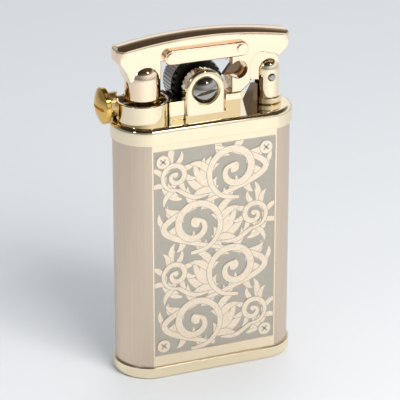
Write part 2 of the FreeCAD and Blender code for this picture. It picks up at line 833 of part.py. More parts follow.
def flange_level(x, drop="0"):
    """Height of the flange's arched top, or of the arch a given drop below it, at x."""
    radius = f"(flange_arc_radius - ({drop}))"
    return f"flange_arc_z + sqrt({radius} * {radius} - (({x}) - flange_arc_x) * (({x}) - flange_arc_x))"


def make_rocker_arm(snuffer_outside):
    arm = new_body("arm_body")
    rail = new_sketch(arm, "flange_side", "XZ_Plane")
    draw_outline(rail, [
        ("flange_left", flange_level("flange_left", "flange_thickness"),
         "flange_arc_radius - flange_thickness", -1),
        ("flange_right", flange_level("flange_right", "flange_thickness")),
        ("flange_right", flange_level("flange_right"), "flange_arc_radius", 1),
        ("flange_left", flange_level("flange_left")),
    ])
    flange = pad(arm, "flange", rail, "flange_half * 2", symmetric=True)
    arch_centre = Vector(size_of("flange_arc_x"), 0, size_of("flange_arc_z"))
    top_radius = size_of("flange_arc_radius")

    def arch_reach(edge):
        return [math.hypot(vertex.X - arch_centre.x,
                           vertex.Z - arch_centre.z) for vertex in edge.Vertexes]

    def is_corner(edge):
        """One of the four short upright edges at the flange's ends."""
        first, last = edge.Vertexes[0], edge.Vertexes[-1]
        return math.hypot(first.X - last.X, first.Y - last.Y) < 1e-6

    corners = round_edges(arm, "flange_corners", flange, "end_round", is_corner)
    round_edges(arm, "flange_rounds", corners, "flange_edge",
                lambda edge: all(abs(reach - top_radius) < 1e-6 for reach in arch_reach(edge)))

    side = new_sketch(arm, "web_side", "XZ_Plane")
    draw_outline(side, [
        ("leg_left", "leg_bottom"),
        ("window_left", "leg_bottom"),
        ("window_left", "window_top"),
        ("window_right", "window_top"),
        ("window_right", "column_bottom"),
        ("column_foot_right", "column_bottom"),
        ("relief_left", "column_foot_top"),
        ("relief_left", "relief_spring", "relief_radius", -1),
        ("relief_left + relief_radius", "relief_spring + relief_radius"),
        ("tail_step_x", "tail_step_z"),
        ("tail_heel_x", "tail_heel_z"),
        ("tail_x", "tail_z"),
        ("flange_right - tail_inset", flange_level("flange_right - tail_inset", "flange_thickness / 2")),
        ("pivot_x", flange_level("pivot_x", "flange_thickness / 2")),
        ("0", flange_level("0", "flange_thickness / 2")),
        ("cup_x", flange_level("cup_x", "flange_thickness / 2")),
        ("flange_left + leg_inset", flange_level("flange_left + leg_inset", "flange_thickness / 2")),
        ("flange_left + leg_inset", "leg_shoulder", "leg_curve", -1),
    ])
    web = pad(arm, "web", side, "web_half * 2", symmetric=True)
    arch_radius = size_of("flange_arc_radius - flange_thickness")

    def is_web_rim(edge):
        """On a face of the web, away from its two ends and from the corner under the flange."""
        on_face = all(abs(abs(vertex.Y) - size_of("web_half")) < 1e-6 for vertex in edge.Vertexes)
        along_face = abs(edge.CenterOfMass.y) > size_of("web_half") - 1e-6
        middle = edge.CenterOfMass.x
        inside = size_of("flange_left + end_clear") < middle < size_of("flange_right - end_clear")
        return on_face and along_face and inside and min(arch_reach(edge)) < arch_radius - 1e-3

    round_edges(arm, "web_rounds", web, "web_edge", is_web_rim)

    tongue = new_sketch(arm, "tongue_side", "XZ_Plane")
    draw_outline(tongue, [
        ("tongue_left", "tongue_bottom"),
        ("pivot_x - heel_radius", "tongue_bottom", "heel_curve", 1),
        ("pivot_x", "pivot_z - heel_radius", "heel_radius", 1),
        ("pivot_x + heel_radius", "pivot_z"),
        ("tongue_right", "tongue_top"),
        ("tongue_left", "tongue_top"),
    ])
    pad(arm, "tongue", tongue, "tongue_half * 2", symmetric=True)

    pawl_slot = box("arm_pawl_slot", ("window_right - spare", "pawl_slot_right"),
                    ("-pawl_slot_half", "pawl_slot_half"),
                    ("pawl_slot_bottom", "pawl_slot_top"))
    leaf_slot = box("arm_leaf_slot", ("rivet_left - leaf_room", "window_right"),
                    ("-pawl_slot_half", "pawl_slot_half"),
                    ("rivet_z - leaf_room", "pawl_slot_top"))
    notch = rod("arm_notch", "Y", "notch_radius", "-reach", "reach", ("notch_x", "notch_z"))
    pivot_bore = rod("arm_pivot_bore", "Y", "pin_radius + running_gap", "-reach", "reach",
                     ("pivot_x", "pivot_z"))
    left_bore = rod("arm_left_bore", "Y", "rivet_radius", "-reach", "reach", ("rivet_left", "rivet_z"))
    right_bore = rod("arm_right_bore", "Y", "rivet_radius", "-reach", "reach", ("rivet_right", "rivet_z"))
    outline = new_body("arm_plan_body")
    plan = new_sketch(outline, "arm_plan", "XY_Plane", "column_bottom - spare")
    draw_outline(plan, [
        ("flange_left + end_round", "-flange_half"),
        ("flange_right - end_round", "-flange_half", "end_round", 1),
        ("flange_right", "-flange_half + end_round"),
        ("flange_right", "flange_half - end_round", "end_round", 1),
        ("flange_right - end_round", "flange_half"),
        ("flange_left + end_round", "flange_half", "end_round", 1),
        ("flange_left", "flange_half - end_round"),
        ("flange_left", "-flange_half + end_round", "end_round", 1),
    ])
    pad(outline, "arm_plan_prism", plan, "rivet_z - column_bottom + arm_plan_spare")
    ring = new_body("arm_crown_body")
    crown = new_sketch(ring, "arm_crown", "YZ_Plane")
    rise = "sqrt(crown_radius * crown_radius - crown_half * crown_half)"
    crown_edge = f"flange_arc_radius - crown_radius + {rise}"
    draw_outline(crown, [
        ("-crown_half", "crown_low"),
        ("crown_half", "crown_low"),
        ("crown_half", crown_edge, "crown_radius", 1),
        ("-crown_half", crown_edge),
    ])
    revolve(ring, "arm_crown_ring", crown, "H_Axis")
    place(ring, "flange_arc_x", "0", "flange_arc_z")
    rounded = common("arm_rounded", common("arm_crowned", arm, ring), outline)
    node(cut("arm", rounded, snuffer_outside, pawl_slot, leaf_slot, notch, pivot_bore, left_bore,
             right_bore),
         "rocker_arm")


def make_link_bar():
    bar = new_body("bar_body")
    sketch = new_sketch(bar, "bar_side", "XZ_Plane", "web_half")
    draw_outline(sketch, [
        ("rivet_left", "rivet_z - bar_radius"),
        ("rivet_right", "rivet_z - bar_radius", "bar_radius", 1),
        ("rivet_right + bar_radius", "rivet_z", "bar_radius", 1),
        ("rivet_right", "rivet_z + bar_radius"),
        ("rivet_left", "rivet_z + bar_radius", "bar_radius", 1),
        ("rivet_left - bar_radius", "rivet_z", "bar_radius", 1),
    ])
    plate = pad(bar, "bar_plate", sketch, "bar_thickness")
    round_edges(bar, "bar_rounds", plate, "bar_edge", at_depth("-web_half - bar_thickness"))
    bores = [rod(f"bar_bore_{side}", "Y", "rivet_radius", "-reach", "reach", (f"rivet_{side}", "rivet_z"))
             for side in ("left", "right")]
    node(cut("bar", bar, *bores), "link_bar")


def make_link_rivets():
    rivets = []
    for side in ("left", "right"):
        across = (f"rivet_{side}", "rivet_z")
        shank = rod(f"rivet_shank_{side}", "Y", "rivet_radius", "-web_half - bar_thickness", "web_half",
                    across)
        head = rod(f"rivet_disc_{side}", "Y", "rivet_head", "-web_half - bar_thickness - rivet_dome",
                   "-web_half - bar_thickness", across)
        rivets.append(fuse(f"rivet_{side}_solid", shank, head))
    group = doc.addObject("Part::Compound", "rivet_pair")
    group.Links = rivets
    node(group, "link_rivets")


def make_pawl():
    body = new_body("pawl_body")
    sketch = new_sketch(body, "pawl_side", "XZ_Plane")
    draw_outline(sketch, [
        ("rivet_right - pawl_hub", "rivet_z"),
        ("rivet_right - pawl_neck_left", "pawl_tip_z + pawl_neck_low"),
        ("pawl_tip_x", "pawl_tip_z"),
        ("pawl_tip_x + pawl_tip_width", "pawl_tip_z - pawl_tip_drop"),
        ("notch_x - pawl_lobe_start", "notch_z - pawl_lobe", "pawl_lobe_curve", 1),
        ("notch_x + pawl_lobe", "notch_z"),
        ("rivet_right + pawl_neck_right", "pawl_tip_z + pawl_neck_high"),
        ("rivet_right + pawl_hub", "rivet_z", "pawl_hub", 1),
        ("rivet_right", "rivet_z + pawl_hub", "pawl_hub", 1),
    ])
    pad(body, "pawl_plate", sketch, "pawl_half * 2", symmetric=True)
    bore = rod("pawl_bore", "Y", "rivet_radius + running_gap", "-reach", "reach",
               ("rivet_right", "rivet_z"))
    node(cut("pawl_cut", body, bore), "pawl")


def make_pawl_spring():
    across = ("rivet_left", "rivet_z")
    half = ("-spring_leaf_half", "spring_leaf_half")
    eye = tube("leaf_eye", "Y", "rivet_radius + leaf_eye_wall", "rivet_radius", half[0], half[1], across)
    leaf = box("leaf_strip", ("rivet_left + rivet_radius", "rivet_right - pawl_hub - leaf_tip_gap"), half,
               ("spring_leaf_z", "spring_leaf_z + spring_leaf"))
    node(fuse("leaf_solid", eye, leaf), "pawl_spring")


# ---------------------------------------------------------------- post and deck fittings

def make_post():
    body = new_body("post_body")
    sketch = new_sketch(body, "post_half", "XZ_Plane")
    draw_outline(sketch, [
        ("0", "post_tail_bottom"),
        ("post_tail_radius", "post_tail_bottom"),
        ("post_tail_radius", "deck_top"),
        ("post_radius", "deck_top"),
        ("post_radius", "post_shoulder", "post_radius", 1),
        ("0", "post_shoulder + post_radius"),
    ])
    revolve(body, "post_turned", sketch, "V_Axis")
    place(body, "pivot_x", "0", "0")
    slot = box("post_slot", ("pivot_x - 5", "pivot_x + 5"), ("-post_slot_half", "post_slot_half"),
               ("post_slot_bottom", "post_shoulder + reach"))
    bore = rod("post_bore", "Y", "pin_radius", "-reach", "reach", ("pivot_x", "pivot_z"))
    node(cut("post", body, slot, bore), "pivot_post")

    ring = tube("ring", "Z", "ring_radius", "post_radius", "deck_top", "deck_top + ring_height",
                ("pivot_x", "0"))
    node(soften("ring_round", ring, "ring_edge", is_ring("ring_radius")), "post_ring")
    nut = doc.addObject("Part::Prism", "post_nut_hexagon")
    nut.Polygon = 6
    bind(nut, Circumradius="post_nut_radius", Height="post_nut_height")
    place(nut, "pivot_x", "0", "deck_under - post_nut_height")
    nut_bore = rod("post_nut_bore", "Z", "post_tail_radius", "deck_under - reach", "deck_under + spare",
                   ("pivot_x", "0"))
    node(cut("post_nut_cut", nut, nut_bore), "post_nut")
    pin = rod("pin_rod", "Y", "pin_radius", "-pin_half", "pin_half", ("pivot_x", "pivot_z"))
    node(soften("pin_ends", pin, "pin_edge", is_ring("pin_radius")), "arm_pivot_pin")


def make_deck_fittings():
    block = box("rest_block", ("rest_left", "rest_right"), ("-rest_half", "rest_half"),
                ("deck_top", "rest_top"))
    node(soften("rest_round", block, "rest_edge", at_height("rest_top")), "arm_rest_block")
    leaf = new_body("leaf_body")
    sketch = new_sketch(leaf, "leaf_side", "YZ_Plane", "leaf_left")
    draw_outline(sketch, [
        ("leaf_front", "deck_top"),
        ("leaf_foot_back", "deck_top"),
        ("leaf_tip_back", "leaf_top"),
        ("leaf_front", "leaf_top"),
    ])
    pad(leaf, "leaf_plate", sketch, "leaf_thickness")
    node(leaf, "snap_spring")


make_case_shell()
make_top_collar()
make_bottom_cap()
make_tank()
make_filler()
make_wick()
make_chimney_cup()
snuffer_outside = make_snuffer()
make_bracket()
make_bracket_screws()
make_axle()
make_wheels()
make_flint_feed()
make_flint_spring()
make_rocker_arm(snuffer_outside)
make_link_bar()
make_link_rivets()
make_pawl()
make_pawl_spring()
make_post()
make_deck_fittings()
doc.recompute()

broken = [thing.Name for thing in doc.Objects if {"Invalid", "Error"} & set(thing.State)]
if broken:
    raise RuntimeError(f"failed features: {broken}")
os.makedirs("parts", exist_ok=True)
for piece in nodes:
    if piece.Shape.isNull() or not piece.Shape.isValid():
        raise RuntimeError(f"bad shape: {piece.Label}")
    piece.Shape.exportStep(f"parts/{piece.Label}.step")
    print(piece.Label, len(piece.Shape.Solids), round(piece.Shape.Volume, 2))
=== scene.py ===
"""Looks of the rocker-arm petrol lighter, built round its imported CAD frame. Metres, +Z up, front at -Y."""
import bmesh
import bpy
import json
import math
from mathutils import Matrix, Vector


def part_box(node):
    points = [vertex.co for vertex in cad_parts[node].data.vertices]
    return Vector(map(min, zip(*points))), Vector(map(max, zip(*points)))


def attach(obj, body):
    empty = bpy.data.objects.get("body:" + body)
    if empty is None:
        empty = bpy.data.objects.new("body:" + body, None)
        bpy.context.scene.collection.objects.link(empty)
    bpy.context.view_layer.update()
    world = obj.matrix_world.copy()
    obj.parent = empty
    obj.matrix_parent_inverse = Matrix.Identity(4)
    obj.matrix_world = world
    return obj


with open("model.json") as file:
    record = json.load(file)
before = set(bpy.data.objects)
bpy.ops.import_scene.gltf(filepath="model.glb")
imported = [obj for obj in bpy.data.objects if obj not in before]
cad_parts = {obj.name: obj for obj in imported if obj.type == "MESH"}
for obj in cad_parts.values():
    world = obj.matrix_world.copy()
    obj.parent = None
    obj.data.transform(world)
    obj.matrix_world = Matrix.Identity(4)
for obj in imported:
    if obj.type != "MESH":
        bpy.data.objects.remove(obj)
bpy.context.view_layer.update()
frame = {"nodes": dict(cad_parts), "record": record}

MM = 0.001


# ---------------------------------------------------------------- camera and studio

CAMERA_PLACE = Vector((-141.99, -344.78, 187.10)) * MM
CAMERA_TARGET = Vector((-0.33, 0.0, 31.29)) * MM
CAMERA_LENS = 199.7


def make_camera():
    data = bpy.data.cameras.new("camera")
    data.lens = CAMERA_LENS
    data.clip_start = 0.01
    data.clip_end = 20
    camera = bpy.data.objects.new("camera", data)
    camera.location = CAMERA_PLACE
    camera.rotation_mode = "QUATERNION"
    camera.rotation_quaternion = (CAMERA_TARGET - CAMERA_PLACE).to_track_quat("-Z", "Y")
    bpy.context.scene.collection.objects.link(camera)
    bpy.context.scene.camera = camera


def add_softbox(name, place, target, size, watts, colour=(1, 1, 1), mirrored=False):
    """Soft rectangular light; only a mirrored one shows as a bright window in polished metal."""
    data = bpy.data.lights.new(name, "AREA")
    data.shape = "RECTANGLE"
    data.size, data.size_y = size
    data.energy = watts
    data.color = colour
    light = bpy.data.objects.new(name, data)
    light.location = place
    light.rotation_mode = "QUATERNION"
    light.rotation_quaternion = (Vector(target) - Vector(place)).to_track_quat("-Z", "Y")
    light.visible_glossy = mirrored
    bpy.context.scene.collection.objects.link(light)


# Colour of the room in a mirror, from straight down (0) to straight up (1): the far table and the wall's foot
# are pale, the wall fades above them, and the ceiling is dark.
ROOM = (
    (0.00, (0.80, 0.80, 0.80)),
    (0.50, (0.70, 0.70, 0.69)),
    (0.60, (0.86, 0.87, 0.88)),
    (0.69, (1.00, 1.02, 1.05)),
    (0.74, (0.34, 0.29, 0.24)),
    (0.82, (0.08, 0.065, 0.05)),
    (1.00, (0.07, 0.055, 0.04)),
)

# The mirrored room is dim at the left and full at the right: (x of the direction, strength).
DIM_SIDE = (-0.6, 0.3)
FULL_SIDE = (0.25, 1.0)
EVEN_COLOUR = (0.93, 0.96, 1.0)
EVEN_STRENGTH = 0.57
FLOOR_HALF = 4.0
FLOOR_COLOUR = (0.74, 0.76, 0.78)
FLOOR_ROUGHNESS = 0.7


def make_world():
    """Even pale light on the diffuse surfaces, and a darker room for the metal to mirror."""
    world = bpy.data.worlds.new("tent")
    bpy.context.scene.world = world
    world.use_nodes = True
    nodes, links = world.node_tree.nodes, world.node_tree.links
    nodes.clear()
    direction = nodes.new("ShaderNodeTexCoord")
    split = nodes.new("ShaderNodeSeparateXYZ")
    links.new(direction.outputs["Generated"], split.inputs[0])
    lift = nodes.new("ShaderNodeMapRange")
    lift.inputs["From Min"].default_value = -1.0
    links.new(split.outputs["Z"], lift.inputs["Value"])
    ramp = nodes.new("ShaderNodeValToRGB")
    stops = ramp.color_ramp.elements
    stops[0].position, stops[0].color = ROOM[0][0], (*ROOM[0][1], 1)
    stops[1].position, stops[1].color = ROOM[-1][0], (*ROOM[-1][1], 1)
    for position, colour in ROOM[1:-1]:
        stops.new(position).color = (*colour, 1)
    links.new(lift.outputs["Result"], ramp.inputs["Fac"])
    side = nodes.new("ShaderNodeMapRange")
    side.inputs["From Min"].default_value, side.inputs["To Min"].default_value = DIM_SIDE
    side.inputs["From Max"].default_value, side.inputs["To Max"].default_value = FULL_SIDE
    links.new(split.outputs["X"], side.inputs["Value"])
    mirrored = nodes.new("ShaderNodeBackground")
    links.new(ramp.outputs["Color"], mirrored.inputs["Color"])
    links.new(side.outputs["Result"], mirrored.inputs["Strength"])
    even = nodes.new("ShaderNodeBackground")
    even.inputs["Color"].default_value = (*EVEN_COLOUR, 1)
    even.inputs["Strength"].default_value = EVEN_STRENGTH
    path = nodes.new("ShaderNodeLightPath")
    blend = nodes.new("ShaderNodeMixShader")
    links.new(path.outputs["Is Glossy Ray"], blend.inputs["Fac"])
    links.new(even.outputs["Background"], blend.inputs[1])
    links.new(mirrored.outputs["Background"], blend.inputs[2])
    output = nodes.new("ShaderNodeOutputWorld")
    links.new(blend.outputs["Shader"], output.inputs["Surface"])


def make_floor():
    mesh = bpy.data.meshes.new("floor")
    signs = ((-1, -1), (1, -1), (1, 1), (-1, 1))
    mesh.from_pydata([(x * FLOOR_HALF, y * FLOOR_HALF, 0) for x, y in signs], [], [(0, 1, 2, 3)])
    floor = bpy.data.objects.new("floor", mesh)
    bpy.context.scene.collection.objects.link(floor)
    paper = bpy.data.materials.new("paper_sweep")
    paper.use_nodes = True
    shader = paper.node_tree.nodes["Principled BSDF"]
    shader.inputs["Base Color"].default_value = (*FLOOR_COLOUR, 1)
    shader.inputs["Roughness"].default_value = FLOOR_ROUGHNESS
    mesh.materials.append(paper)


def make_studio():
    bpy.context.scene.view_settings.view_transform = "Standard"
    make_world()
    make_floor()
    add_softbox("key_box", (0.08, -0.29, 0.30), (0.02, -0.06, 0.0), (0.24, 0.24), 1.45, (1.0, 0.96, 0.91))
    add_softbox("back_box", (0.30, 0.55, 0.60), (0.05, 0.2, 0.0), (0.5, 0.5), 1.4, (0.95, 0.97, 1.0))
    add_softbox("window_right", (0.35, -0.75, 0.75), (0, 0, 0.05), (0.10, 0.16), 0.5, mirrored=True)
    add_softbox("window_left", (-0.75, -0.35, 0.60), (0, 0, 0.05), (0.08, 0.20), 0.35, mirrored=True)


# ---------------------------------------------------------------- materials

NOISE_LOW = 0.3
NOISE_HIGH = 0.7
ROUGHNESS_SPREAD = (0.85, 1.2)
EVEN_DRIFT = (160, 160, 160)
METAL_RELIEF = 0.00002
SOFT_RELIEF = 0.0001
SOFT_SHADE = 0.7


def new_material(name):
    material = bpy.data.materials.new(name)
    material.use_nodes = True
    tree = material.node_tree
    return material, tree.nodes, tree.links, tree.nodes["Principled BSDF"]


def new_map(nodes, low, high):
    """Node that stretches the middle of a noise to the range from low to high."""
    node = nodes.new("ShaderNodeMapRange")
    node.inputs["From Min"].default_value = NOISE_LOW
    node.inputs["From Max"].default_value = NOISE_HIGH
    node.inputs["To Min"].default_value = low
    node.inputs["To Max"].default_value = high
    return node


def new_mix(nodes, first, second):
    node = nodes.new("ShaderNodeMix")
    node.data_type = "RGBA"
    node.inputs["A"].default_value = (*first, 1)
    node.inputs["B"].default_value = (*second, 1)
    return node


def add_relief(nodes, links, noise, shader, strength, distance):
    relief = nodes.new("ShaderNodeBump")
    relief.inputs["Strength"].default_value = strength
    relief.inputs["Distance"].default_value = distance
    links.new(noise.outputs["Fac"], relief.inputs["Height"])
    links.new(relief.outputs["Normal"], shader.inputs["Normal"])


def new_metal(name, colour, roughness, variation=0.04, grain=EVEN_DRIFT, bump=0.0):
    """Metal whose colour and roughness drift slightly. grain is the noise scale per metre along x, y and z,
    and a low scale along one axis draws the noise out into brushing."""
    material, nodes, links, shader = new_material(name)
    shader.inputs["Metallic"].default_value = 1.0
    place = nodes.new("ShaderNodeTexCoord")
    stretch = nodes.new("ShaderNodeMapping")
    stretch.inputs["Scale"].default_value = grain
    links.new(place.outputs["Object"], stretch.inputs["Vector"])
    noise = nodes.new("ShaderNodeTexNoise")
    noise.inputs["Scale"].default_value = 1.0
    noise.inputs["Detail"].default_value = 4.0
    links.new(stretch.outputs["Vector"], noise.inputs["Vector"])
    tint = new_map(nodes, 0.0, 1.0)
    links.new(noise.outputs["Fac"], tint.inputs["Value"])
    darker = [share * (1 - variation) for share in colour]
    lighter = [min(share * (1 + variation), 1) for share in colour]
    mix = new_mix(nodes, darker, lighter)
    links.new(tint.outputs["Result"], mix.inputs["Factor"])
    links.new(mix.outputs["Result"], shader.inputs["Base Color"])
    gloss = new_map(nodes, *[roughness * share for share in ROUGHNESS_SPREAD])
    links.new(noise.outputs["Fac"], gloss.inputs["Value"])
    links.new(gloss.outputs["Result"], shader.inputs["Roughness"])
    if bump:
        add_relief(nodes, links, noise, shader, bump, METAL_RELIEF)
    return material


def new_soft(name, colour, scale, roughness=0.9, bump=0.6):
    """Cloth, wadding or rubber: a mottled matt colour with a fine relief at scale bumps per metre."""
    material, nodes, links, shader = new_material(name)
    place = nodes.new("ShaderNodeTexCoord")
    noise = nodes.new("ShaderNodeTexNoise")
    noise.inputs["Scale"].default_value = scale
    noise.inputs["Detail"].default_value = 6.0
    links.new(place.outputs["Object"], noise.inputs["Vector"])
    mix = new_mix(nodes, [share * SOFT_SHADE for share in colour], colour)
    links.new(noise.outputs["Fac"], mix.inputs["Factor"])
    links.new(mix.outputs["Result"], shader.inputs["Base Color"])
    shader.inputs["Roughness"].default_value = roughness
    add_relief(nodes, links, noise, shader, bump, SOFT_RELIEF)
    return material


BRUSHED = (9000, 9000, 60)
BLASTED = (1500, 1500, 1500)
POLISHED_GRAIN = (700, 700, 700)


def make_materials():
    return {
        "panel_field": new_metal("panel_matte", (0.53, 0.49, 0.42), 0.42, 0.05, BLASTED, 0.2),
        "panel_leaf": new_metal("panel_cream", (0.92, 0.78, 0.61), 0.28, 0.05, POLISHED_GRAIN, 0.05),
        # The border strips cover the case's flat front in a lighter copy of the case_brushed champagne:
        # painted light for the front turned to the lamps, against the darker rounded ends.
        "panel_border": new_metal("champagne_front_painted_light", (0.95, 0.81, 0.60), 0.22, 0.03, BRUSHED, 0.15),
        "case_brushed": new_metal("champagne_brushed", (0.70, 0.575, 0.46), 0.34, 0.05, BRUSHED, 0.25),
        "polished_gold": new_metal("pale_gold_polish", (0.92, 0.80, 0.58), 0.06, 0.02),
        "rose_gold": new_metal("rose_gold_polish", (0.97, 0.78, 0.58), 0.08, 0.02),
        "yellow_brass": new_metal("yellow_brass_polish", (0.78, 0.50, 0.14), 0.12, 0.05),
        "silver_steel": new_metal("silver_steel", (0.42, 0.40, 0.37), 0.12, 0.05),
        "black_steel": new_metal("black_steel", (0.035, 0.03, 0.025), 0.45, 0.2),
        "dark_steel": new_metal("dark_bronze", (0.17, 0.11, 0.075), 0.18, 0.1),
        "plain_brass": new_metal("plain_brass", (0.78, 0.60, 0.30), 0.25, 0.08),
        "cotton": new_soft("cotton_wool", (0.85, 0.83, 0.78), 900),
        "felt": new_soft("grey_felt", (0.45, 0.43, 0.40), 2500),
        "wick_cord": new_soft("braided_wick", (0.80, 0.75, 0.66), 3000),
        "seal_rubber": new_soft("black_rubber", (0.03, 0.03, 0.03), 1500, 0.6, 0.2),
        "flint_alloy": new_metal("flint_alloy", (0.20, 0.19, 0.18), 0.5, 0.2),
    }


def dress_cad_nodes(materials):
    for part in frame["record"]["subparts"]:
        piece = frame["nodes"][part["node"]]
        piece.data.materials.clear()
        piece.data.materials.append(materials[part["material_slot"]])


# ---------------------------------------------------------------- engraved panel

# Places are in millimetres: x and z on the panel, and depth forwards from the case's middle. Each stroke is a
# leaf-coloured solid on a slightly wider field-coloured one, a little in front of the strokes before it.
CASE_FRONT = -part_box("case_shell")[0][1] / MM
PANEL_HALF = 11.7
PANEL_LOW = 4.6
PANEL_HIGH = 44.4
FIELD_BACK = CASE_FRONT - 0.062
FIELD_FRONT = FIELD_BACK + 0.006
STROKE_BASE = FIELD_BACK + 0.008
STROKE_RISE = 0.0004
CROWN = 0.0015
GROOVE = 0.1
THINNEST = 0.02
ROUND_END = 0.4
END_ANGLES = (15, 30, 45, 60, 75, 88)
CURVE_STEPS = 7


def curve_point(points, index, t):
    """Catmull-Rom point between control points index and index + 1."""
    last = len(points) - 1
    a, b, c, d = (Vector(points[min(max(index + k, 0), last)]) for k in (-1, 0, 1, 2))
    square = (2 * a - 5 * b + 4 * c - d) * t ** 2
    cube = (3 * b - a - 3 * c + d) * t ** 3
    return 0.5 * (2 * b + (c - a) * t + square + cube)


def stroke_path(points):
    path = []
    for index in range(len(points) - 1):
        path += [curve_point(points, index, step / CURVE_STEPS) for step in range(CURVE_STEPS)]
    return path + [Vector(points[-1])]


def stroke_rings(points, margin):
    """(left, middle, right) rows of a stroke, with a half-round end where the stroke ends wide."""
    path = stroke_path(points)
    rows = []
    for index, spot in enumerate(path):
        ahead = path[min(index + 1, len(path) - 1)]
        behind = path[max(index - 1, 0)]
        along = Vector((ahead.x - behind.x, ahead.y - behind.y)).normalized()
        side = Vector((-along.y, along.x)) * (max(spot.z, THINNEST) + margin)
        middle = Vector((spot.x, spot.y))
        rows.append((middle + side, middle, middle - side))
    radius = max(path[-1].z, THINNEST) + margin
    tip = rows[-1][1]
    side = (rows[-1][0] - tip).normalized()
    along = Vector((side.y, -side.x))
    if path[-1].z > ROUND_END:
        for step in END_ANGLES:
            angle = math.radians(step)
            centre = tip + along * radius * math.sin(angle)
            reach = side * radius * math.cos(angle)
            rows.append((centre + reach, centre, centre - reach))
    return rows


def clamp_to_panel(point):
    return (min(max(point.x, -PANEL_HALF), PANEL_HALF), min(max(point.y, PANEL_LOW), PANEL_HIGH))


def add_stroke(mesh, points, margin, depth, crown):
    """Closed solid from the field's back to depth at its edges and depth + crown along its middle."""
    rows = [[clamp_to_panel(point) for point in row] for row in stroke_rings(points, margin)]
    grid = []
    for left, middle, right in rows:
        ring = [(left, depth), (middle, depth + crown), (right, depth)]
        ring += [(right, FIELD_BACK), (left, FIELD_BACK)]
        grid.append([mesh.verts.new((x * MM, -y * MM, z * MM)) for (x, z), y in ring])
    for lower, upper in zip(grid, grid[1:]):
        for k in range(len(lower)):
            j = (k + 1) % len(lower)
            mesh.faces.new((lower[k], lower[j], upper[j], upper[k]))
    mesh.faces.new(grid[0][::-1])
    mesh.faces.new(grid[-1])


MERGE_DISTANCE = 1e-7
SHARP_ANGLE = math.radians(40)


def finish_mesh(name, mesh, material):
    bmesh.ops.remove_doubles(mesh, verts=mesh.verts, dist=MERGE_DISTANCE)
    bmesh.ops.dissolve_degenerate(mesh, dist=MERGE_DISTANCE, edges=mesh.edges)
    bmesh.ops.recalc_face_normals(mesh, faces=mesh.faces)
    data = bpy.data.meshes.new(name)
    mesh.to_mesh(data)
    mesh.free()
    data.shade_smooth()
    data.set_sharp_from_angle(angle=SHARP_ANGLE)
    data.materials.append(material)
    piece = bpy.data.objects.new(name, data)
    bpy.context.scene.collection.objects.link(piece)
    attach(piece, "case")


def add_slab(mesh, corners, front, back):
    """Closed slab over a convex outline of (x, z) corners, between two depths."""
    near = [mesh.verts.new((x * MM, -front * MM, z * MM)) for x, z in corners]
    far = [mesh.verts.new((x * MM, -back * MM, z * MM)) for x, z in corners]
    mesh.faces.new(near)
    mesh.faces.new(far[::-1])
    for k in range(len(corners)):
        j = (k + 1) % len(corners)
        mesh.faces.new((near[j], near[k], far[k], far[j]))


def add_rectangle(mesh, left, right, low, high, front, back):
    add_slab(mesh, ((left, low), (right, low), (right, high), (left, high)), front, back)


CORNER_DISCS = ((-9.95, 42.4), (9.95, 42.4), (-10.0, 6.3), (10.0, 6.3))
DISC_RADIUS = 1.22
DISC_CORNERS = 32
CROSS_REACH = 0.72
CROSS_HALF = 0.15


def disc_outline(centre, radius):
    angles = [k * math.tau / DISC_CORNERS for k in range(DISC_CORNERS)]
    return [(centre[0] + radius * math.cos(angle), centre[1] + radius * math.sin(angle)) for angle in angles]


def cross_outlines(centre):
    """The two bars of a diagonal cross."""
    middle = Vector(centre)
    bars = []
    for angle in (math.radians(45), math.radians(45) + math.pi / 2):
        along = Vector((math.cos(angle), math.sin(angle))) * CROSS_REACH
        side = Vector((-math.sin(angle), math.cos(angle))) * CROSS_HALF
        corners = (along + side, side - along, -along - side, along - side)
        bars.append([tuple(middle + corner) for corner in corners])
    return bars


FRAME_FRONT = CASE_FRONT + 0.012
FRAME_BACK = CASE_FRONT - 0.01
FRAME_STRIPS = (
    (-11.95, 11.95, 44.55, 45.60),
    (-11.95, 11.95, 2.45, 4.45),
    (-12.0, -11.8, 4.45, 44.55),
    (11.8, 12.0, 4.45, 44.55),
)


def make_frame(materials):
    """Satin border round the panel over the case's flat front, from the (left, right, low, high) of each
    strip. Its colour, lighter than the case metal on the rounded ends, is painted light where the front faces
    the lamps.
    """
    border = bmesh.new()
    for strip in FRAME_STRIPS:
        add_rectangle(border, *strip, FRAME_FRONT, FRAME_BACK)
    finish_mesh("panel_frame", border, materials["panel_border"])


# The ornament is a classical rinceau: a vine climbs the panel in a wave, with a large volute in each bend
# and a small one in each gap, fringed with acanthus leaves. Angles are in degrees. A spin of 1 winds
# anticlockwise and has its large volute on the left; a spin of -1 is its mirror image.
BENDS = 4
BEND_LOW = 10.2
BEND_STEP = 9.6
VINE_REACH = 9.9
VINE_STEPS = 8
VINE_WIDTHS = (0.35, 0.20)
VOLUTE_OFF = 3.7
VOLUTE_RADIUS = 4.9
GAP_OFF = 7.6
GAP_RISE = 0.4
GAP_RADIUS = 2.5
VOLUTE_TURNS = 1.5
VOLUTE_POINTS = 16
VOLUTE_POWER = 0.8
VOLUTE_WIDTHS = (0.14, 0.15)
ROOT_ANGLE = 10
BUD_REACH = 0.12
BUD_WIDTH = 0.22
LEAF_SHARES = (0.25, 0.75, 1.0, 0.85, 0.55, 0.05)

# A fringe leaf's turn off the stem, longest length, loss of length towards the bud, bend and half width.
FRINGE_PLACES = (0.66, 0.58, 0.50, 0.42, 0.34, 0.26, 0.18, 0.10, 0.02)
FRINGE_INNER = (12, 3.2, 2.2, 75, 0.48)
FRINGE_OUTER = (-12, 5.6, 3.4, -85, 0.66)
FRINGE_RADIUS = 4.84

